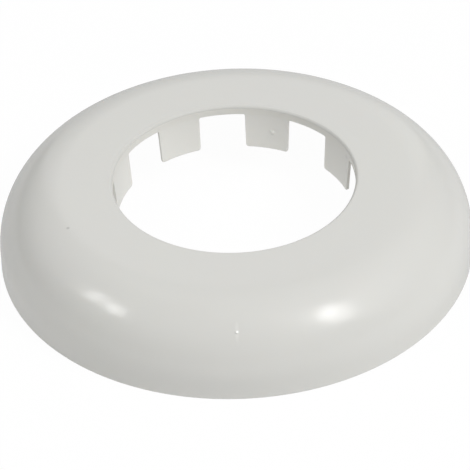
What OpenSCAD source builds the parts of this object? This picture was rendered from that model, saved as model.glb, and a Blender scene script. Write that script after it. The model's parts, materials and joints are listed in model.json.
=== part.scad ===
// Pipe rosette: a domed cover ring that closes the gap around a soil pipe where it
// passes through a wall or a floor. It is one moulding in white plastic, hollow
// underneath, with a ring of spring fingers inside the hole that grip the pipe.
// The base rim lies on the wall at z = 0, and the pipe runs along Z through the hole.

/* [Cover] */
// Diameter across the base rim
base_d = 220; // [216:1:228]
// Height of the crown above the base rim
height = 38.5; // [37:0.5:42]
// Thickness of the moulded wall
wall_t = 2; // [1.6:0.1:2.4]
// Radius of the shoulder between the side and the crown
shoulder_r = 31; // [28:0.5:33]
// Slope of the nearly flat crown where it runs into the shoulder, in degrees
crown_slope = 1; // [0.5:0.5:4]
// Draft of the side, in degrees
side_draft = 1.5; // [0.5:0.5:3]
// Chamfer on the outer edge of the base rim
foot_chamfer = 0.4; // [0.2:0.1:1]

/* [Pipe hole] */
// Diameter of the hole, a little over the 110 of the pipe
hole_d = 111.6; // [110.8:0.2:112.8]
// Depth of the collar around the hole, counted from the crown
collar_h = 4.7; // [4:0.1:6]
// Rounding of the collar's upper edge
rim_r = 1.4; // [1:0.1:1.5]

/* [Spring fingers] */
// Number of fingers around the hole
finger_count = 8; // [6:1:10]
// Width of a finger where it leaves the collar
finger_w = 21.8; // [16:0.2:24]
// Width that a finger loses towards its tip
finger_taper = 1; // [0:0.1:2]
// Depth of the finger tips below the crown
finger_reach = 22.7; // [18:0.1:28]
// Thickness of a finger
finger_t = 1.5; // [1.2:0.1:1.6]
// How far the tips lean in from the edge of the hole
finger_lean = 1.1; // [0.5:0.1:1.6]
// Height of the straight band at each tip that grips the pipe
grip_h = 2; // [1.6:0.2:4]
// Rounding of the two corners at a tip
tip_corner_r = 1.4; // [0.6:0.1:3]
// Rounding between a finger and the collar
root_corner_r = 0.8; // [0.4:0.1:1.6]

/* [Hidden] */
$fn = 240;
// straight steps that each round stretch of a section or an outline is drawn in
shoulder_steps = 32;
crown_steps = 4;
rim_steps = 10;
corner_steps = 6;
// how far a shape that cuts or joins runs on past the surface it meets
overrun = 1;
// how far the rounding at a finger's root runs up into the collar, to meet it at an angle
root_sink = 0.1;
// length of finger below the collar that stays in line with the collar's inner face
root_straight = 0.5;

base_r = base_d / 2;
hole_r = hole_d / 2;
// The section of the outer skin has three stretches, each tangent to the next: the
// side leans in by side_draft, the shoulder arc turns it to crown_slope off level,
// and the crown arc brings it level at crown_start_x, where the rounded rim begins.
crown_start_x = hole_r + rim_r;
shoulder_w = shoulder_r * (cos(side_draft) - sin(crown_slope));
shoulder_h = shoulder_r * (cos(crown_slope) - sin(side_draft));
// rise of the crown arc for each unit of its width
crown_rise = tan(crown_slope / 2);
side_h = (height - shoulder_h - crown_rise * (base_r - crown_start_x - shoulder_w))
    / (1 - crown_rise * tan(side_draft));
shoulder_x = base_r - side_h * tan(side_draft) - shoulder_r * cos(side_draft);
shoulder_z = side_h - shoulder_r * sin(side_draft);
crown_r = shoulder_r + (shoulder_x - crown_start_x) / sin(crown_slope);

collar_z = height - collar_h;
collar_outer_r = hole_r + wall_t;
tip_z = height - finger_reach;
tip_r = hole_r - finger_lean;
root_half_w = finger_w / 2;
tip_half_w = root_half_w - finger_taper / 2;
taper_angle = atan((root_half_w - tip_half_w) / (collar_z - tip_z));

// Points along an arc about centre from angle a to angle b, both ends among them
function arc(centre, r, a, b, steps) = [
    for (i = [0:steps])
        let (angle = a + (b - a) * i / steps)
        centre + r * [cos(angle), sin(angle)]
];

// A list without its last point
function but_last(points) = [for (i = [0:len(points) - 2]) points[i]];

// Points along the outer skin, or along that skin moved in by inset, from the top of
// the straight side to the point of the crown that lies at angle crown_end
function skin(inset, crown_end) = concat(
    but_last(arc([shoulder_x, shoulder_z], shoulder_r - inset,
        side_draft, 90 - crown_slope, shoulder_steps)),
    arc([crown_start_x, height - crown_r], crown_r - inset,
        90 - crown_slope, crown_end, crown_steps)
);

// Distance from a corner of a finger to where a rounding of radius r starts
function corner_run(r) = r * tan(45 - taper_angle / 2);

// Section of the hollow cover, open at the base, with the collar that turns down
// around the hole. It runs from the foot over the outside and back along the inside.
module cover_section() {
    inner_crown_end = acos((collar_outer_r - crown_start_x) / (crown_r - wall_t));
    inner_skin = skin(wall_t, inner_crown_end);
    polygon(concat(
        [
            [base_r - wall_t / cos(side_draft), 0],
            [base_r - foot_chamfer, 0],
            [base_r - foot_chamfer * tan(side_draft), foot_chamfer],
        ],
        but_last(skin(0, 90)),
        arc([crown_start_x, height - rim_r], rim_r, 90, 180, rim_steps),
        [
            [hole_r, collar_z],
            [collar_outer_r, collar_z],
        ],
        [for (i = [len(inner_skin) - 1:-1:0]) inner_skin[i]]
    ));
}

// Section of the ring that the fingers are cut from: a thin wall that starts in line
// with the collar's inner face, leans in below it and ends in the upright grip. Its top
// runs up into the collar.
module finger_section() {
    inner_face = [
        [tip_r, tip_z - overrun],
        [tip_r, tip_z + grip_h],
        [hole_r, collar_z - root_straight],
        [hole_r, collar_z + overrun],
    ];
    outer_face = [for (i = [len(inner_face) - 1:-1:0]) inner_face[i] + [finger_t, 0]];
    polygon(concat(inner_face, outer_face));
}

// Outline of a finger seen from the pipe: its sides taper to a tip with rounded
// corners, and a small hollow rounding leads up to the collar's lower edge
module finger_outline() {
    root_x = root_half_w + corner_run(root_corner_r);
    tip_x = tip_half_w - corner_run(tip_corner_r);
    half = concat(
        [[root_x, collar_z + 2 * overrun]],
        arc([root_x, collar_z + root_sink - root_corner_r], root_corner_r,
            90, 180 + taper_angle, corner_steps),
        arc([tip_x, tip_z + tip_corner_r], tip_corner_r, -taper_angle, -90, corner_steps)
    );
    polygon(concat(half, [for (i = [len(half) - 1:-1:0]) [-half[i].x, half[i].y]]));
}

// One spring finger: the part of a turned ring that lies within the finger's outline
module finger() {
    intersection() {
        rotate_extrude()
            finger_section();
        rotate([90, 0, 90])
            linear_extrude(collar_outer_r)
                finger_outline();
    }
}

// The whole moulding
module rosette() {
    color("whitesmoke")
        union() {
            rotate_extrude()
                cover_section();
            for (turn = [0:finger_count - 1])
                rotate(turn * 360 / finger_count)
                    finger();
        }
}

rosette();
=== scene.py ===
"""Looks of the pipe rosette: one glossy white moulding on a pale floor.

The moulding repeats around the pipe, so one sector of it is drawn as a mesh, with one
spring finger in its middle, and a Geometry Nodes tree turns that sector into the whole
ring. Two small moulding marks are then raised on the finished mesh, and its skin is sunk a
little unevenly.
"""
import json
import math
from collections import namedtuple

import bmesh
import bpy
from mathutils import Matrix, Vector, noise


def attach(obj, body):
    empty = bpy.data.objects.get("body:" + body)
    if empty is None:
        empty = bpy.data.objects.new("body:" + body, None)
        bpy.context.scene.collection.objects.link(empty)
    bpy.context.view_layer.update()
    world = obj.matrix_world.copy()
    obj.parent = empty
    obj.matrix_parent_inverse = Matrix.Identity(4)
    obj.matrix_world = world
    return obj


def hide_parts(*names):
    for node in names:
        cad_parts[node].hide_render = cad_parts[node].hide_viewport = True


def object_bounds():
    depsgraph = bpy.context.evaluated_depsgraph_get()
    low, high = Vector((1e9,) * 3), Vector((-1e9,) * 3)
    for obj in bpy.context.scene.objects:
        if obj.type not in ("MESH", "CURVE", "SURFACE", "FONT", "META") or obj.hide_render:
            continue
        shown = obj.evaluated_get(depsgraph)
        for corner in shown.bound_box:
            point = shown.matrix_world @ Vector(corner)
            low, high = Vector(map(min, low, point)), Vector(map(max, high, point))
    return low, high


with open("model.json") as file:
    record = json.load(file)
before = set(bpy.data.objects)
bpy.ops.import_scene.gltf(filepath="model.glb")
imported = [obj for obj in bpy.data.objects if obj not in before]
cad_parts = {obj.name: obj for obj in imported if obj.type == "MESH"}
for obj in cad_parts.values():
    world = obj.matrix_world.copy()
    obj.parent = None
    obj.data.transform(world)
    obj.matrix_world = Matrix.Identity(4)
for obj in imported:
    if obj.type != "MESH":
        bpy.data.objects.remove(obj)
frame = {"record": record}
cad_low, cad_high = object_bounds()

MM = 0.001
mounts = {mount["name"]: mount for mount in frame["record"]["mounts"]}

# Sizes of the moulding in millimetres, the first four of them read from the frame
BASE_R = (cad_high.x - cad_low.x) / 2 / MM
HEIGHT = cad_high.z / MM
HOLE_R = mounts["pipe_passage"]["dims"]["r_mm"]
TIP_R = mounts["pipe_grip"]["dims"]["r_mm"]
WALL_T = 2.0
SHOULDER_R = 31.0
CROWN_SLOPE = 1.0
SIDE_DRAFT = 1.5
FOOT_OUTER_R = 0.4
FOOT_INNER_R = 0.3
RIM_R = 1.4
COLLAR_H = 4.7
COLLAR_FILLET_R = 0.8
FINGER_COUNT = 8
FINGER_W = 21.8
FINGER_TAPER = 1.0
FINGER_REACH = 22.7
FINGER_T = 1.5
GRIP_H = 2.0
TIP_CORNER_R = 1.4
ROOT_CORNER_R = 0.8
TURN_REACH = 2.0
EDGE_R = 0.25

# How finely the sector is drawn: columns of half a sector, rows down the collar and the
# finger, and steps of each stretch of the cover's section
FINGER_COLUMNS = 8
GAP_COLUMNS = 6
COLLAR_ROWS = 3
SIDE_ROWS = 12
CORNER_STEPS = 4
EDGE_STEPS = 3
RIM_STEPS = 8
CROWN_STEPS = 8
SHOULDER_STEPS = 32
COVER_SIDE_STEPS = 6
FOOT_STEPS = 5
# The hollow underside is drawn more coarsely
INNER_FOOT_STEPS = 4
INNER_SIDE_STEPS = 4
INNER_SHOULDER_STEPS = 24
INNER_CROWN_STEPS = 6
FILLET_STEPS = 4
# Vertices of neighbouring sectors closer than this many millimetres become one
WELD_DISTANCE = 0.01

# The finish of each face, kept as a number on the mesh
INSIDE, SKIN, RIM = 0, 1, 2

# Where the section's stretches meet, worked out from the sizes above
COLLAR_Z = HEIGHT - COLLAR_H
COLLAR_OUTER_R = HOLE_R + WALL_T
TIP_Z = HEIGHT - FINGER_REACH
CROWN_START_X = HOLE_R + RIM_R
draft, slope = math.radians(SIDE_DRAFT), math.radians(CROWN_SLOPE)
crown_rise = math.tan(slope / 2)
shoulder_w = SHOULDER_R * (math.cos(draft) - math.sin(slope))
shoulder_h = SHOULDER_R * (math.cos(slope) - math.sin(draft))
SIDE_H = (HEIGHT - shoulder_h - crown_rise * (BASE_R - CROWN_START_X - shoulder_w)) / (
    1 - crown_rise * math.tan(draft)
)
SHOULDER_X = BASE_R - SIDE_H * math.tan(draft) - SHOULDER_R * math.cos(draft)
SHOULDER_Z = SIDE_H - SHOULDER_R * math.sin(draft)
CROWN_R = SHOULDER_R + (SHOULDER_X - CROWN_START_X) / math.sin(slope)


def smooth(t):
    """0 below 0, 1 above 1, and a smooth rise between."""
    t = min(max(t, 0.0), 1.0)
    return t * t * (3 - 2 * t)


def arc(x, z, radius, start, end, steps):
    """Points on an arc about (x, z), from one angle to another in degrees."""
    turns = [math.radians(start + (end - start) * i / steps) for i in range(steps + 1)]
    return [(x + radius * math.cos(t), z + radius * math.sin(t)) for t in turns]


def straight(a, b, steps):
    """Points on a straight line from a to b."""
    shares = [i / steps for i in range(steps + 1)]
    return [(a[0] + (b[0] - a[0]) * share, a[1] + (b[1] - a[1]) * share) for share in shares]


def chain(*stretches):
    """One list of points from stretches that begin where the one before ends."""
    points = list(stretches[0])
    for stretch in stretches[1:]:
        points += stretch[1:]
    return points


def outer_section():
    """The outside, from the bottom of the rounded rim over the crown to the foot."""
    foot_x = BASE_R - FOOT_OUTER_R * (1 + math.sin(draft)) / math.cos(draft)
    rim = arc(CROWN_START_X, HEIGHT - RIM_R, RIM_R, 180, 90, RIM_STEPS)
    crown = arc(CROWN_START_X, HEIGHT - CROWN_R, CROWN_R, 90, 90 - CROWN_SLOPE, CROWN_STEPS)
    shoulder = arc(
        SHOULDER_X, SHOULDER_Z, SHOULDER_R, 90 - CROWN_SLOPE, SIDE_DRAFT, SHOULDER_STEPS
    )
    foot = arc(foot_x, FOOT_OUTER_R, FOOT_OUTER_R, SIDE_DRAFT, -90, FOOT_STEPS)
    side = straight(shoulder[-1], foot[0], COVER_SIDE_STEPS)
    return chain(rim, crown, shoulder, side, foot)


def inner_section():
    """The inside, from the foot up the hollow and down the collar's outer face."""
    inner_base = BASE_R - WALL_T / math.cos(draft)
    foot_x = inner_base + FOOT_INNER_R * (1 - math.sin(draft)) / math.cos(draft)
    foot = arc(foot_x, FOOT_INNER_R, FOOT_INNER_R, -90, -180 + SIDE_DRAFT, INNER_FOOT_STEPS)
    shoulder_r, crown_r = SHOULDER_R - WALL_T, CROWN_R - WALL_T
    crown_begin = 90 - CROWN_SLOPE
    shoulder = arc(
        SHOULDER_X, SHOULDER_Z, shoulder_r, SIDE_DRAFT, crown_begin, INNER_SHOULDER_STEPS
    )
    side = straight(foot[-1], shoulder[0], INNER_SIDE_STEPS)
    fillet_x = COLLAR_OUTER_R + COLLAR_FILLET_R
    crown_end = math.degrees(math.acos((fillet_x - CROWN_START_X) / crown_r))
    crown = arc(
        CROWN_START_X, HEIGHT - CROWN_R, crown_r, crown_begin, crown_end, INNER_CROWN_STEPS
    )
    fillet_z = crown[-1][1] - COLLAR_FILLET_R
    fillet = arc(fillet_x, fillet_z, COLLAR_FILLET_R, 90, 180, FILLET_STEPS)
    return chain(foot, side, shoulder, crown, fillet)


def finger_outline():
    """Half of a sector's lower outline, from the middle of a gap to the finger's middle.

    Each entry is (y, z, outward y, outward z), y along the pipe's wall and z along the
    pipe. It runs along the collar's edge, down the finger's side and along its tip.
    """
    taper = math.atan(FINGER_TAPER / 2 / (COLLAR_Z - TIP_Z))
    corner_run = math.tan(math.pi / 4 - taper / 2)
    root_y = FINGER_W / 2 + ROOT_CORNER_R * corner_run
    tip_y = (FINGER_W - FINGER_TAPER) / 2 - TIP_CORNER_R * corner_run
    root_z, tip_z = COLLAR_Z - ROOT_CORNER_R, TIP_Z + TIP_CORNER_R
    lean = math.degrees(taper)
    gap_y = HOLE_R * math.sin(math.pi / FINGER_COUNT)
    corner_columns = CORNER_STEPS // 2
    edge = straight((gap_y, COLLAR_Z), (root_y, COLLAR_Z), GAP_COLUMNS - corner_columns)
    root = arc(root_y, root_z, ROOT_CORNER_R, 90, 180 + lean, CORNER_STEPS)
    tip = arc(tip_y, tip_z, TIP_CORNER_R, -lean, -90, CORNER_STEPS)
    side = straight(root[-1], tip[0], SIDE_ROWS)
    bottom = straight(tip[-1], (0.0, TIP_Z), FINGER_COLUMNS - corner_columns)
    root_r, tip_r = ROOT_CORNER_R, TIP_CORNER_R
    entries = [(y, z, 0.0, -1.0) for y, z in edge[:-1]]
    entries += [(y, z, (root_y - y) / root_r, (root_z - z) / root_r) for y, z in root]
    entries += [(y, z, math.cos(taper), -math.sin(taper)) for y, z in side[1:-1]]
    entries += [(y, z, (y - tip_y) / tip_r, (z - tip_z) / tip_r) for y, z in tip]
    entries += [(y, z, 0.0, -1.0) for y, z in bottom[1:]]
    return entries


def inner_radius(z):
    """Radius of the collar's and the finger's inner face at height z."""
    run = COLLAR_Z - TIP_Z - GRIP_H
    share = min(max((COLLAR_Z - z) / run, 0.0), 1.0)
    return HOLE_R + (TIP_R - HOLE_R) * share


def thickness(z):
    """The collar's wall thins to the finger's over the rounding at the root."""
    return FINGER_T + (WALL_T - FINGER_T) * smooth((z - COLLAR_Z) / ROOT_CORNER_R + 1)


def wall_point(y, z, depth):
    """The point of the collar or finger that lies depth behind its inner face.

    y is counted along the inner face. The collar's columns stay at one angle, and the
    finger's sides stay parallel. One turns into the other over TURN_REACH below the collar.
    """
    radius = inner_radius(z) + depth
    turned = smooth((z - COLLAR_Z) / TURN_REACH + 1)
    y_here = y * (1 + turned * (radius / HOLE_R - 1))
    return Vector((math.sqrt(radius**2 - y_here**2), y_here, z))


def edge_profile(entry):
    """Points across the outline's rounded edge, from the inner face to the outer one."""
    y, z, out_y, out_z = entry
    depth = thickness(z)
    points = []
    for side in (0, 1):
        for step in range(EDGE_STEPS + 1):
            turn = math.pi / 2 * (step if side == 0 else EDGE_STEPS - step) / EDGE_STEPS
            inset = EDGE_R * (1 - math.sin(turn))
            sunk = EDGE_R * (1 - math.cos(turn))
            behind = sunk if side == 0 else depth - sunk
            points.append((y - inset * out_y, z - inset * out_z, behind))
    return points


def blend_patch(edges, u, v):
    """A point inside four edges (left, right, top, bottom), at shares u and v."""
    left, right, top, bottom = (edge(t) for edge, t in zip(edges, (v, v, u, u)))
    corners = [edges[2](0.0), edges[2](1.0), edges[3](0.0), edges[3](1.0)]
    point = []
    for k in (0, 1):
        ruled = (1 - u) * left[k] + u * right[k] + (1 - v) * top[k] + v * bottom[k]
        flat = (1 - v) * ((1 - u) * corners[0][k] + u * corners[1][k])
        flat += v * ((1 - u) * corners[2][k] + u * corners[3][k])
        point.append(ruled - flat)
    return point


class Sector:
    """One eighth of the moulding, drawn as a grid of columns and rows."""

    def __init__(self):
        self.bm = bmesh.new()
        self.finish = self.bm.faces.layers.int.new("finish")
        self.half = FINGER_COLUMNS + GAP_COLUMNS
        self.columns = range(-self.half, self.half + 1)
        half_outline = finger_outline()
        mirrored = [(-y, z, -out_y, out_z) for y, z, out_y, out_z in half_outline]
        self.outline = mirrored + half_outline[-2::-1]
        self.places = self.outline_places()
        self.edge_rings = self.draw_edge()

    def outline_places(self):
        """(column, row) of each point of the outline; rows count down from the rim."""
        finger, last = FINGER_COLUMNS, COLLAR_ROWS + SIDE_ROWS + CORNER_STEPS
        self.last_row = last
        left = [(j, COLLAR_ROWS) for j in range(-self.half, -finger)]
        left += [(-finger, i) for i in range(COLLAR_ROWS, last + 1)]
        bottom = [(j, last) for j in range(-finger + 1, finger)]
        right = [(-j, i) for j, i in reversed(left)]
        return left + bottom + right

    def vertex(self, point):
        """A new vertex at a point given in millimetres."""
        return self.bm.verts.new(Vector(point) * MM)

    def draw_edge(self):
        """The rounded edge along the whole outline, one row of vertices a point."""
        rings = [[self.vertex(wall_point(*p)) for p in edge_profile(e)] for e in self.outline]
        for ring, following in zip(rings, rings[1:]):
            for k in range(len(ring) - 1):
                self.bm.faces.new((ring[k], ring[k + 1], following[k + 1], following[k]))
        return rings

    def flat_places(self, side):
        """(y, z) of the outline's points where its rounded edge meets a face."""
        flats = [edge_profile(entry)[-side][:2] for entry in self.outline]
        return dict(zip(self.places, flats))

    def spread_finger(self, known):
        """Adds the (y, z) of the finger's grid, spread between its edges."""
        finger, last = FINGER_COLUMNS, self.last_row
        left = [known[-finger, i] for i in range(COLLAR_ROWS, last + 1)]
        right = [known[finger, i] for i in range(COLLAR_ROWS, last + 1)]
        bottom = [known[j, last] for j in range(-finger, finger + 1)]
        top = straight(left[0], right[0], 2 * finger)
        edges = [
            lambda t, points=points: points[round(t * (len(points) - 1))]
            for points in (left, right, top, bottom)
        ]
        for j in range(-finger + 1, finger):
            for i in range(COLLAR_ROWS, last):
                u, v = (j + finger) / (2 * finger), (i - COLLAR_ROWS) / (last - COLLAR_ROWS)
                known[j, i] = blend_patch(edges, u, v)

    def spread_collar(self, known, top_z):
        """Adds the (y, z) of the collar's grid, from its lower edge up to top_z."""
        for j in self.columns:
            y, z = known[j, COLLAR_ROWS]
            for i in range(COLLAR_ROWS):
                known[j, i] = (y, top_z + (z - top_z) * i / COLLAR_ROWS)

    def draw_face(self, side, top_z):
        """The inner (0) or outer (1) face of the collar and finger.

        Returns its top row of vertices, and how far across the sector each one lies.
        """
        known = self.flat_places(side)
        self.spread_finger(known)
        self.spread_collar(known, top_z)
        grid = {spot: ring[-side] for spot, ring in zip(self.places, self.edge_rings)}
        for spot, (y, z) in known.items():
            if spot not in grid:
                grid[spot] = self.vertex(wall_point(y, z, thickness(z) * side))
        for (j, i), corner in grid.items():
            cell = [corner, grid.get((j + 1, i)), grid.get((j + 1, i + 1)), grid.get((j, i + 1))]
            if None not in cell:
                self.bm.faces.new(cell if side == 0 else cell[::-1])
        return [grid[j, 0] for j in self.columns], [known[j, 0][0] for j in self.columns]

    def draw(self):
        """The whole sector: the collar and finger, then the section turned about Z."""
        top_in, across = self.draw_face(0, HEIGHT - RIM_R)
        inner = inner_section()
        top_out, _ = self.draw_face(1, inner[-1][1])
        angles = [math.asin(y / HOLE_R) for y in across]
        outer = outer_section()
        rows, row = [], top_in
        for x, z in outer[1:] + inner[:-1]:
            following = [self.vertex((x * math.cos(a), x * math.sin(a), z)) for a in angles]
            rows.append((row, following))
            row = following
        rows.append((row, top_out))
        for i, (above, below) in enumerate(rows):
            finish = RIM if i < RIM_STEPS else SKIN if i < len(outer) - 1 else INSIDE
            for k in range(len(above) - 1):
                face = self.bm.faces.new((above[k], above[k + 1], below[k + 1], below[k]))
                face[self.finish] = finish
        mesh = bpy.data.meshes.new("sector")
        self.bm.to_mesh(mesh)
        self.bm.free()
        return mesh


def socket(tree, name):
    """Identifier of a tree's input, which a modifier's setting goes by."""
    items = tree.interface.items_tree
    return next(i.identifier for i in items if i.name == name and i.in_out == "INPUT")


def new_group(name, inputs, outputs, kind="ShaderNodeTree"):
    """A node group with inputs (label, kind, value) and outputs (label, kind)."""
    group = bpy.data.node_groups.new(name, kind)
    for label, socket_kind, value in inputs:
        made = group.interface.new_socket(label, in_out="INPUT", socket_type=socket_kind)
        if value is not None:
            made.default_value = value
    for label, socket_kind in outputs:
        group.interface.new_socket(label, in_out="OUTPUT", socket_type=socket_kind)
    return group


def place(tree, kind, values=None, **settings):
    """A node with its settings and the values of its unlinked inputs."""
    made = tree.nodes.new(kind)
    for key, value in settings.items():
        setattr(made, key, value)
    for key, value in (values or {}).items():
        made.inputs[key].default_value = value
    return made


def join(tree, *wires):
    """Wires given as (node, output, node, input)."""
    for a, out, b, into in wires:
        tree.links.new(a.outputs[out], b.inputs[into])


def ring_tree(materials):
    """Geometry Nodes that repeat a sector about Z, weld the copies and set the finish."""
    tree = new_group(
        "Moulded Ring",
        [
            ("Geometry", "NodeSocketGeometry", None),
            ("Sector Count", "NodeSocketInt", None),
            ("Weld Distance", "NodeSocketFloat", None),
        ],
        [("Geometry", "NodeSocketGeometry")],
        "GeometryNodeTree",
    )
    given, result = place(tree, "NodeGroupInput"), place(tree, "NodeGroupOutput")
    places = place(tree, "GeometryNodeMeshLine", {"Offset": (0.0, 0.0, 0.0)}, mode="OFFSET")
    index = place(tree, "GeometryNodeInputIndex")
    sector_turn = place(tree, "ShaderNodeMath", {0: 2 * math.pi}, operation="DIVIDE")
    turn = place(tree, "ShaderNodeMath", operation="MULTIPLY")
    about_z = place(tree, "ShaderNodeCombineXYZ")
    copies = place(tree, "GeometryNodeInstanceOnPoints")
    real = place(tree, "GeometryNodeRealizeInstances")
    weld = place(tree, "GeometryNodeMergeByDistance")
    finish = place(tree, "GeometryNodeInputNamedAttribute", {"Name": "finish"}, data_type="INT")
    join(
        tree,
        (given, "Sector Count", places, "Count"),
        (given, "Sector Count", sector_turn, 1),
        (index, 0, turn, 0),
        (sector_turn, 0, turn, 1),
        (turn, 0, about_z, "Z"),
        (places, "Mesh", copies, "Points"),
        (given, "Geometry", copies, "Instance"),
        (about_z, 0, copies, "Rotation"),
        (copies, "Instances", real, "Geometry"),
        (real, "Geometry", weld, "Geometry"),
        (given, "Weld Distance", weld, "Distance"),
    )
    before = weld
    for number, material in materials.items():
        chosen = place(tree, "FunctionNodeCompare", {"B": number}, data_type="INT", operation="EQUAL")
        finished = place(tree, "GeometryNodeSetMaterial", {"Material": material})
        join(
            tree,
            (finish, "Attribute", chosen, "A"),
            (before, "Geometry", finished, "Geometry"),
            (chosen, 0, finished, "Selection"),
        )
        before = finished
    join(tree, (before, "Geometry", result, "Geometry"))
    return tree


def plastic_grain_group():
    """Slow drift of the colour and fine unevenness of a polished moulding."""
    group = new_group(
        "Moulded Plastic Surface",
        [
            ("Base Color", "NodeSocketColor", None),
            ("Drift Color", "NodeSocketColor", None),
            ("Drift Size", "NodeSocketFloat", 0.05),
            ("Grain Size", "NodeSocketFloat", 0.002),
            ("Grain Height", "NodeSocketFloat", 0.00001),
        ],
        [("Color", "NodeSocketColor"), ("Height", "NodeSocketFloat")],
    )
    given, result = place(group, "NodeGroupInput"), place(group, "NodeGroupOutput")
    where = place(group, "ShaderNodeTexCoord")
    drift_scale = place(group, "ShaderNodeMath", {0: 1.0}, operation="DIVIDE")
    grain_scale = place(group, "ShaderNodeMath", {0: 1.0}, operation="DIVIDE")
    drift = place(group, "ShaderNodeTexNoise", {"Detail": 2.0})
    grain = place(group, "ShaderNodeTexNoise", {"Detail": 3.0})
    tint = place(group, "ShaderNodeMix", data_type="RGBA")
    raised = place(group, "ShaderNodeMath", operation="MULTIPLY")
    join(
        group,
        (given, "Drift Size", drift_scale, 1),
        (given, "Grain Size", grain_scale, 1),
        (drift_scale, 0, drift, "Scale"),
        (grain_scale, 0, grain, "Scale"),
        (where, "Object", drift, "Vector"),
        (where, "Object", grain, "Vector"),
        (drift, "Fac", tint, "Factor"),
        (given, "Base Color", tint, "A"),
        (given, "Drift Color", tint, "B"),
        (tint, "Result", result, "Color"),
        (grain, "Fac", raised, 0),
        (given, "Grain Height", raised, 1),
        (raised, 0, result, "Height"),
    )
    return group


# Share of a mark's size over which it has its full strength, before it fades out
MARK_CORE = 0.3


def mark_mask_group():
    """1 inside a small oval on the surface and 0 outside it, with a soft edge."""
    group = new_group(
        "Small Oval Mark",
        [
            ("Centre", "NodeSocketVector", None),
            ("Lengthwise", "NodeSocketVector", None),
            ("Half Length", "NodeSocketFloat", 0.001),
            ("Half Width", "NodeSocketFloat", 0.001),
        ],
        [("Mask", "NodeSocketFloat")],
    )
    given, result = place(group, "NodeGroupInput"), place(group, "NodeGroupOutput")
    where = place(group, "ShaderNodeTexCoord")
    apart = place(group, "ShaderNodeVectorMath", operation="SUBTRACT")
    along = place(group, "ShaderNodeVectorMath", operation="DOT_PRODUCT")
    along_part = place(group, "ShaderNodeVectorMath", operation="SCALE")
    across_part = place(group, "ShaderNodeVectorMath", operation="SUBTRACT")
    across = place(group, "ShaderNodeVectorMath", operation="LENGTH")
    along_share = place(group, "ShaderNodeMath", operation="DIVIDE")
    across_share = place(group, "ShaderNodeMath", operation="DIVIDE")
    both = place(group, "ShaderNodeCombineXYZ")
    share = place(group, "ShaderNodeVectorMath", operation="LENGTH")
    fade = place(
        group, "ShaderNodeMapRange", {1: 1.0, 2: MARK_CORE, 3: 0.0, 4: 1.0}, interpolation_type="SMOOTHSTEP"
    )
    join(
        group,
        (where, "Object", apart, 0),
        (given, "Centre", apart, 1),
        (apart, 0, along, 0),
        (given, "Lengthwise", along, 1),
        (given, "Lengthwise", along_part, 0),
        (along, "Value", along_part, "Scale"),
        (apart, 0, across_part, 0),
        (along_part, 0, across_part, 1),
        (across_part, 0, across, 0),
        (along, "Value", along_share, 0),
        (given, "Half Length", along_share, 1),
        (across, "Value", across_share, 0),
        (given, "Half Width", across_share, 1),
        (along_share, 0, both, "X"),
        (across_share, 0, both, "Y"),
        (both, 0, share, 0),
        (share, "Value", fade, 0),
        (fade, 0, result, "Mask"),
    )
    return group


# Finish of the moulding, as seen on the object
SKIN_WHITE = (0.73, 0.732, 0.694, 1.0)
SKIN_DRIFT = (0.727, 0.722, 0.698, 1.0)
# The inner faces are painted a lighter white than the skin of the same plastic, as painted light
INNER_LIT_WHITE = (0.805, 0.803, 0.765, 1.0)
INNER_LIT_DRIFT = (0.80, 0.793, 0.76, 1.0)
# The collar band is painted a little darker than the fingers, as painted shade
COLLAR_SHADE_WHITE = (0.797, 0.792, 0.75, 1.0)
# The rim is painted a darker white than the skin, as painted shade
RIM_SHADE_WHITE = (0.69, 0.69, 0.655, 1.0)
# Grey of the real speck, also used for the painted shade at a finger's root
SPECK_AND_SHADE_GREY = (0.25, 0.25, 0.25, 1.0)
# Paler white painted along the flow line: its sheen, a painted highlight
FLOW_SHEEN_WHITE = (0.8, 0.8, 0.77, 1.0)
# How far above and below its lower edge the collar's painted shade fades, in millimetres
COLLAR_SHADE_BLEND = 0.4

# A small mark on the surface: an oval, in metres, with a colour laid over it; the speck is real, the flow
# line's sheen and the finger's dark patch are painted light and shade
Mark = namedtuple("Mark", "centre lengthwise half_length half_width colour strength")
surface_group = plastic_grain_group()
mark_group = mark_mask_group()


def shade_collar(tree, before, colour):
    """Blends from the colour before to a slightly darker white, painted shade, from the collar's lower edge
    up.
    """
    where = place(tree, "ShaderNodeTexCoord")
    height = place(tree, "ShaderNodeSeparateXYZ")
    ends = {1: (COLLAR_Z - COLLAR_SHADE_BLEND) * MM, 2: (COLLAR_Z + COLLAR_SHADE_BLEND) * MM}
    above = place(tree, "ShaderNodeMapRange", ends, interpolation_type="SMOOTHSTEP")
    tinted = place(tree, "ShaderNodeMix", {"B": colour}, data_type="RGBA")
    join(
        tree,
        (where, "Object", height, 0),
        (height, "Z", above, 0),
        (above, 0, tinted, "Factor"),
        (*before, tinted, "A"),
    )
    return tinted, "Result"


def tint_mark(tree, before, mark):
    """Puts a mark's colour over the colour before."""
    oval = place(
        tree,
        "ShaderNodeGroup",
        {
            "Centre": mark.centre,
            "Lengthwise": mark.lengthwise,
            "Half Length": mark.half_length,
            "Half Width": mark.half_width,
        },
        node_tree=mark_group,
    )
    share = place(tree, "ShaderNodeMath", {1: mark.strength}, operation="MULTIPLY")
    tinted = place(tree, "ShaderNodeMix", {"B": mark.colour}, data_type="RGBA")
    join(
        tree,
        (oval, "Mask", share, 0),
        (share, 0, tinted, "Factor"),
        (*before, tinted, "A"),
    )
    return tinted, "Result"


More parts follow.
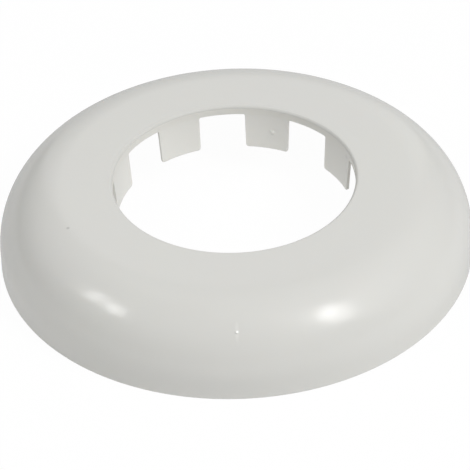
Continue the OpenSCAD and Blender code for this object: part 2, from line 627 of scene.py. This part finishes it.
def white_plastic(name, colour, drift_colour, roughness, grain_height, marks=(), collar_shade_colour=None):
    """Glossy white plastic, slightly translucent, with a few tiny marks coloured on, real ones and painted
    light and shade.

    From the collar's lower edge up, the plastic can be painted a slightly darker white as shade.
    """
    material = bpy.data.materials.new(name)
    material.use_nodes = True
    tree = material.node_tree
    tree.nodes.clear()
    out = place(tree, "ShaderNodeOutputMaterial")
    shader = place(
        tree,
        "ShaderNodeBsdfPrincipled",
        {
            "Roughness": roughness,
            "IOR": 1.5,
            "Subsurface Weight": 0.15,
            "Subsurface Radius": (1.0, 0.9, 0.8),
            "Subsurface Scale": 0.002,
        },
    )
    surface = place(
        tree,
        "ShaderNodeGroup",
        {"Base Color": colour, "Drift Color": drift_colour, "Grain Height": grain_height},
        node_tree=surface_group,
    )
    bump = place(tree, "ShaderNodeBump", {"Strength": 1.0, "Distance": 1.0})
    colour_from = (surface, "Color")
    if collar_shade_colour:
        colour_from = shade_collar(tree, colour_from, collar_shade_colour)
    for mark in marks:
        colour_from = tint_mark(tree, colour_from, mark)
    join(
        tree,
        (surface, "Height", bump, "Height"),
        (bump, "Normal", shader, "Normal"),
        (*colour_from, shader, "Base Color"),
        (shader, "BSDF", out, "Surface"),
    )
    return material


# The camera looks down at the object from this side
CAMERA_TURN = math.radians(17.75)
CAMERA_ELEVATION = math.radians(38.114)
CAMERA_DISTANCE = 1.1
CAMERA_ROLL = math.radians(-2.201)
CAMERA_YAW = math.radians(-0.0275)
CAMERA_PITCH = math.radians(-0.1721)
FOCAL_PIXELS = 2349.1
FRAME_PIXELS = 470.0
SENSOR_MM = 36.0


def facing(x, y, z=0.0):
    """A point given as the camera's side sees it (x right, y away), in the part's frame."""
    return Matrix.Rotation(CAMERA_TURN, 3, "Z") @ Vector((x, y, z))


def add_camera():
    """The camera at the photograph's viewing angle."""
    data = bpy.data.cameras.new("camera")
    data.sensor_width = SENSOR_MM
    data.lens = FOCAL_PIXELS / FRAME_PIXELS * SENSOR_MM
    data.clip_start, data.clip_end = 0.05, 50.0
    camera = bpy.data.objects.new("camera", data)
    bpy.context.scene.collection.objects.link(camera)
    back = Vector((0.0, -math.cos(CAMERA_ELEVATION), math.sin(CAMERA_ELEVATION)))
    right = Vector((1.0, 0.0, 0.0))
    up = back.cross(right)
    axes = Matrix((right, -up, -back))
    tilt = Matrix.Rotation(CAMERA_ROLL, 3, "Z") @ Matrix.Rotation(CAMERA_PITCH, 3, "X")
    swing = Matrix((
        (math.cos(CAMERA_YAW), 0.0, -math.sin(CAMERA_YAW)),
        (0.0, 1.0, 0.0),
        (math.sin(CAMERA_YAW), 0.0, math.cos(CAMERA_YAW)),
    ))
    seen = tilt @ swing @ axes
    turn = Matrix.Rotation(CAMERA_TURN, 3, "Z")
    columns = [turn @ seen[0], turn @ -seen[1], turn @ -seen[2]]
    basis = Matrix(columns).transposed().to_4x4()
    basis.translation = turn @ (back * CAMERA_DISTANCE)
    camera.matrix_world = basis
    bpy.context.scene.camera = camera


# Small marks on the moulding, in millimetres and degrees. The gate mark is a stub
# on the shoulder, broken off at a slant, with a flow line through it whose sheen is a painted highlight.
GATE_ANGLE = -72.95
GATE_TILT = 43.6
GATE_WIDTH = 1.7
GATE_HEIGHT = 0.25
GATE_SIDE = 0.2
GATE_LEAN_ACROSS = 17.6
GATE_LEAN_UPHILL = 4.7
FLOW_SHEEN_HALF_LENGTH = 6.5
FLOW_SHEEN_HALF_WIDTH = 1.2
FLOW_SHEEN_STRENGTH = 0.6
# The pip stands on the inner face of a finger
PIP_FINGER = 2
PIP_Y = -2.55
PIP_Z = 25.3
PIP_WIDTH = 3.2
PIP_HEIGHT = 0.63
# The speck lies in the skin, at a place counted right, away and up as the camera sees it
SPECK_PLACE = (-75.0, -33.8, 38.2)
SPECK_HALF_WIDTH = 1.1
SPECK_STRENGTH = 0.35
# A darker patch at the root of a finger is painted shade
SHADE_PATCH_FINGER = 1
SHADE_PATCH_Y = -7.95
SHADE_PATCH_Z = 33.8
SHADE_PATCH_HALF_WIDTH = 1.7
SHADE_PATCH_STRENGTH = 0.12
# Where a mark is raised, the mesh is cut finer in two rounds, within these distances of its
# middle, on the faces that look its way: the cosine of the angle between them is over SAME_WAY
GATE_REACHES = (4.5, 2.6)
PIP_REACHES = (3.0, 1.8)
FINER_CUTS = 3
SAME_WAY = 0.7

# The outer skin has sunk unevenly as it cooled, by up to this depth
SINK_DEPTH = 0.05
SINK_SIZE = 18.0
SINK_FREE_EDGE = 3.0


def on_shoulder(angle, tilt):
    """A point of the shoulder's round in millimetres, and its direction outwards."""
    around = Vector((math.cos(math.radians(angle)), math.sin(math.radians(angle)), 0.0))
    tilt = math.radians(tilt)
    outward = around * math.sin(tilt) + Vector((0.0, 0.0, math.cos(tilt)))
    return around * SHOULDER_X + Vector((0.0, 0.0, SHOULDER_Z)) + outward * SHOULDER_R, outward


def settle_on_shoulder(point):
    """The nearest point of the shoulder's round, and its direction outwards."""
    angle = math.degrees(math.atan2(point.y, point.x))
    rise = point.z - SHOULDER_Z
    tilt = math.degrees(math.atan2(math.hypot(point.x, point.y) - SHOULDER_X, rise))
    return on_shoulder(angle, tilt)


def settle_on_finger(point):
    """The point of a finger's inner face at the same height, and its direction outwards."""
    around = Vector((point.x, point.y, 0.0)).normalized()
    return around * inner_radius(point.z) + Vector((0.0, 0.0, point.z)), -around


def mound(share):
    """Height of a rounded mound: 1 in its middle and 0 from share 1 on."""
    return 0.5 + 0.5 * math.cos(math.pi * min(abs(share), 1.0))


def gate_frame():
    """The gate mark's place, its direction outwards and its direction down the shoulder."""
    gate_at, outward = on_shoulder(GATE_ANGLE, GATE_TILT)
    _, downhill = on_shoulder(GATE_ANGLE, GATE_TILT + 90.0)
    return gate_at, outward, downhill


def gate_height(point):
    """Height of the gate's stub: a flat slanting top with steep sides."""
    gate_at, outward, downhill = gate_frame()
    offset = point - gate_at
    across = offset.dot(outward.cross(downhill)) * math.tan(math.radians(GATE_LEAN_ACROSS))
    uphill = offset.dot(downhill) * math.tan(math.radians(GATE_LEAN_UPHILL))
    inside = smooth((GATE_WIDTH / 2 - offset.length) / GATE_SIDE)
    return (GATE_HEIGHT - across + uphill) * inside


def on_finger(number, y, z):
    """A point on a finger's inner face, y millimetres aside of its middle."""
    angle = 2 * math.pi * number / FINGER_COUNT + y / HOLE_R
    radius = inner_radius(z)
    return Vector((radius * math.cos(angle), radius * math.sin(angle), z))


def pip_height(point):
    """Height of the rounded pip."""
    pip_at = on_finger(PIP_FINGER, PIP_Y, PIP_Z)
    return PIP_HEIGHT * mound(2 * (point - pip_at).length / PIP_WIDTH)


def raise_mark(bm, centre, outward, reaches, settle, height):
    """Draws the mesh finer around a mark, reach by reach, and raises the mark on it."""

    def near(spot, normal, reach):
        return (spot / MM - centre).length < reach and normal.dot(outward) > SAME_WAY

    for reach in reaches:
        faces = [face for face in bm.faces if near(face.calc_center_median(), face.normal, reach)]
        edges = list({edge for face in faces for edge in face.edges})
        bmesh.ops.subdivide_edges(bm, edges=edges, cuts=FINER_CUTS, use_grid_fill=True)
        bm.normal_update()
    for vertex in bm.verts:
        if near(vertex.co, vertex.normal, reaches[0]):
            at, outwards = settle(vertex.co / MM)
            vertex.co = (at + outwards * height(at)) * MM


def sink_skin(bm):
    """Lets the outer skin sink unevenly, but not at the foot or around the hole."""
    finish = bm.faces.layers.int["finish"]
    bm.normal_update()
    sunk = {vertex for face in bm.faces if face[finish] == SKIN for vertex in face.verts}
    moves = {}
    for vertex in sunk:
        at = vertex.co / MM
        clear = min(at.z, math.hypot(at.x, at.y) - HOLE_R) / SINK_FREE_EDGE
        share = 0.5 + 0.5 * noise.noise(at / SINK_SIZE)
        moves[vertex] = vertex.normal * (-SINK_DEPTH * MM * share * smooth(clear))
    for vertex, move in moves.items():
        vertex.co += move


def plastic_finishes():
    """The material of each finish of the moulding."""
    gate_at, _, downhill = gate_frame()
    # The flow line's paler streak is a painted highlight
    flow_sheen = Mark(
        gate_at * MM, downhill, FLOW_SHEEN_HALF_LENGTH * MM, FLOW_SHEEN_HALF_WIDTH * MM, FLOW_SHEEN_WHITE, FLOW_SHEEN_STRENGTH
    )
    speck_r, shade_patch_r = SPECK_HALF_WIDTH * MM, SHADE_PATCH_HALF_WIDTH * MM
    speck_at = facing(*SPECK_PLACE) * MM
    speck = Mark(speck_at, (1.0, 0.0, 0.0), speck_r, speck_r, SPECK_AND_SHADE_GREY, SPECK_STRENGTH)
    # A darker patch of painted shade at a finger's root
    shade_patch_at = on_finger(SHADE_PATCH_FINGER, SHADE_PATCH_Y, SHADE_PATCH_Z) * MM
    shade_patch = Mark(shade_patch_at, (0.0, 0.0, 1.0), shade_patch_r, shade_patch_r, SPECK_AND_SHADE_GREY, SHADE_PATCH_STRENGTH)
    return {
        # The inner faces' lighter white is painted light, and the collar's darker band is painted shade
        INSIDE: white_plastic(
            "white_inner_face_painted_light_and_shade",
            INNER_LIT_WHITE,
            INNER_LIT_DRIFT,
            roughness=0.3,
            grain_height=0.000006,
            marks=[shade_patch],
            collar_shade_colour=COLLAR_SHADE_WHITE,
        ),
        SKIN: white_plastic(
            "polished_white_skin",
            SKIN_WHITE,
            SKIN_DRIFT,
            roughness=0.2,
            grain_height=0.000004,
            marks=[flow_sheen, speck],
        ),
        # The rim's darker white is painted shade; its rougher finish is real
        RIM: white_plastic(
            "duller_white_rim_painted_shade",
            RIM_SHADE_WHITE,
            SKIN_DRIFT,
            roughness=0.6,
            grain_height=0.000006,
        ),
    }


def ring_mesh():
    """The whole ring's mesh, made from one sector."""
    start = bpy.data.objects.new("sector", Sector().draw())
    bpy.context.scene.collection.objects.link(start)
    tree = ring_tree(plastic_finishes())
    ring = start.modifiers.new("ring", "NODES")
    ring.node_group = tree
    ring[socket(tree, "Sector Count")] = FINGER_COUNT
    ring[socket(tree, "Weld Distance")] = WELD_DISTANCE * MM
    evaluated = start.evaluated_get(bpy.context.evaluated_depsgraph_get())
    mesh = bpy.data.meshes.new_from_object(evaluated)
    mesh.name = "moulding"
    bpy.data.objects.remove(start)
    return mesh


def make_moulding():
    """The whole rosette as one piece, with its marks."""
    mesh = ring_mesh()
    bm = bmesh.new()
    bm.from_mesh(mesh)
    bmesh.ops.recalc_face_normals(bm, faces=bm.faces)
    gate_at, gate_outward, _ = gate_frame()
    raise_mark(bm, gate_at, gate_outward, GATE_REACHES, settle_on_shoulder, gate_height)
    pip_at, pip_outward = settle_on_finger(on_finger(PIP_FINGER, PIP_Y, PIP_Z))
    raise_mark(bm, pip_at, pip_outward, PIP_REACHES, settle_on_finger, pip_height)
    sink_skin(bm)
    bm.to_mesh(mesh)
    bm.free()
    mesh.shade_smooth()
    piece = bpy.data.objects.new("moulding", mesh)
    bpy.context.scene.collection.objects.link(piece)
    weighted = piece.modifiers.new("weighted_normals", "WEIGHTED_NORMAL")
    weighted.keep_sharp = True
    weighted.weight = 50
    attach(piece, "root")
    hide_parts("rosette")


# The floor is a pale light table. The camera sees it white, with a little of the object's
# shadow. It glows up at the object, and the object's gloss mirrors it less brightly.
FLOOR_COLOUR = (0.5, 0.5, 0.5, 1.0)
FLOOR_WHITE = 0.965
FLOOR_SHADOW_SHARE = 0.07
FLOOR_MIRRORED = 0.57
FLOOR_GLOW = 0.42
FLOOR_HALF_SIZE = 6.0


def floor_material():
    """A pale floor that looks white to the camera and keeps the object's soft shadow."""
    material = bpy.data.materials.new("pale_floor")
    material.use_nodes = True
    material.cycles.emission_sampling = "NONE"
    tree = material.node_tree
    tree.nodes.clear()
    out = place(tree, "ShaderNodeOutputMaterial")
    matt = place(tree, "ShaderNodeBsdfDiffuse", {"Color": FLOOR_COLOUR})
    light = place(tree, "ShaderNodeEmission")
    ray = place(tree, "ShaderNodeLightPath")
    seen = place(tree, "ShaderNodeMath", {1: FLOOR_WHITE}, operation="MULTIPLY")
    mirrored = place(tree, "ShaderNodeMath", {1: FLOOR_MIRRORED}, operation="MULTIPLY_ADD")
    thrown = place(tree, "ShaderNodeMath", {1: FLOOR_GLOW}, operation="MULTIPLY_ADD")
    less_matt = place(tree, "ShaderNodeMath", {1: 1 - FLOOR_SHADOW_SHARE}, operation="MULTIPLY_ADD")
    matt_share = place(tree, "ShaderNodeMixShader")
    both = place(tree, "ShaderNodeAddShader")
    join(
        tree,
        (ray, "Is Camera Ray", seen, 0),
        (ray, "Is Glossy Ray", mirrored, 0),
        (seen, 0, mirrored, 2),
        (ray, "Is Diffuse Ray", thrown, 0),
        (mirrored, 0, thrown, 2),
        (thrown, 0, light, "Strength"),
        (ray, "Is Camera Ray", less_matt, 0),
        (ray, "Is Glossy Ray", less_matt, 2),
        (less_matt, 0, matt_share, 0),
        (matt, 0, matt_share, 1),
        (matt_share, 0, both, 0),
        (light, 0, both, 1),
        (both, 0, out, "Surface"),
    )
    return material


def add_floor():
    """A large flat floor at the foot of the object."""
    size = FLOOR_HALF_SIZE
    mesh = bpy.data.meshes.new("floor")
    corners = [(-size, -size, 0), (size, -size, 0), (size, size, 0), (-size, size, 0)]
    mesh.from_pydata(corners, [], [(0, 1, 2, 3)])
    mesh.materials.append(floor_material())
    floor = bpy.data.objects.new("floor", mesh)
    bpy.context.scene.collection.objects.link(floor)


# How far the softboxes stand from the object, in metres
SOFTBOX_DISTANCE = 1.5


def add_softbox(name, bearing, elevation, roll, width, height, level):
    """An area lamp aimed at the object, with its level there in watts a square metre.

    The bearing turns right from the camera's side, and the roll leans the lamp's height
    over towards growing bearings.
    """
    data = bpy.data.lights.new(name, "AREA")
    data.shape = "RECTANGLE"
    data.size, data.size_y = width, height
    data.energy = level * math.pi * SOFTBOX_DISTANCE**2
    lamp = bpy.data.objects.new(name, data)
    bpy.context.scene.collection.objects.link(lamp)
    a, e, lean = (math.radians(angle) for angle in (bearing, elevation, roll))
    outward = Vector((math.sin(a) * math.cos(e), -math.cos(a) * math.cos(e), math.sin(e)))
    upward = Vector((-math.sin(a) * math.sin(e), math.cos(a) * math.sin(e), math.cos(e)))
    aside = Vector((math.cos(a), math.sin(a), 0.0))
    outward = facing(*outward)
    along = facing(*(upward * math.cos(lean) + aside * math.sin(lean)))
    basis = Matrix((along.cross(outward), along, outward)).transposed().to_4x4()
    basis.translation = outward * SOFTBOX_DISTANCE
    lamp.matrix_world = basis


def add_glow(name, bearing, elevation, spread, level, mirrored=True):
    """Even light from a large round part of the studio, spread degrees across.

    Where it isn't mirrored, it lights the object without a reflection in its gloss.
    """
    data = bpy.data.lights.new(name, "SUN")
    data.angle = math.radians(spread)
    data.energy = level
    lamp = bpy.data.objects.new(name, data)
    bpy.context.scene.collection.objects.link(lamp)
    a, e = math.radians(bearing), math.radians(elevation)
    outward = facing(math.sin(a) * math.cos(e), -math.cos(a) * math.cos(e), math.sin(e))
    lamp.rotation_euler = (-outward).to_track_quat("-Z", "Y").to_euler()
    lamp.visible_glossy = mirrored


def add_lights():
    """Two softboxes at the right, two narrow ones at the left, and broad light around."""
    world = bpy.data.worlds.new("studio")
    world.use_nodes = True
    bpy.context.scene.world = world
    tree = world.node_tree
    tree.nodes.clear()
    out = place(tree, "ShaderNodeOutputWorld")
    light = place(tree, "ShaderNodeBackground", {"Color": (1.0, 1.0, 1.0, 1.0), "Strength": 0.01})
    join(tree, (light, 0, out, "Surface"))
    add_softbox("key_lamp", 53.29, 43.46, roll=13.2, width=0.299, height=0.616, level=0.424)
    add_softbox("key_strip", 52.94, 51.61, roll=27.9, width=0.061, height=0.586, level=0.27)
    add_softbox("left_lamp", -85.0, 43.9, roll=-19.6, width=0.08, height=0.38, level=0.18)
    add_softbox("left_front_lamp", -70.8, 43.6, roll=-29.1, width=0.06, height=0.34, level=0.21)
    add_glow("right_front_fill", 60.0, 48.0, spread=50.0, level=1.37, mirrored=False)
    add_glow("left_front_fill", -60.0, 48.0, spread=50.0, level=0.6, mirrored=False)
    add_glow("right_rear_glow", 120.0, 45.0, spread=110.0, level=0.59)
    add_glow("left_rear_glow", -120.0, 48.0, spread=50.0, level=0.185)
    add_glow("rear_glow", 180.0, 18.0, spread=50.0, level=0.28)


bpy.context.scene.view_settings.view_transform = "Standard"
add_camera()
make_moulding()
add_floor()
add_lights()
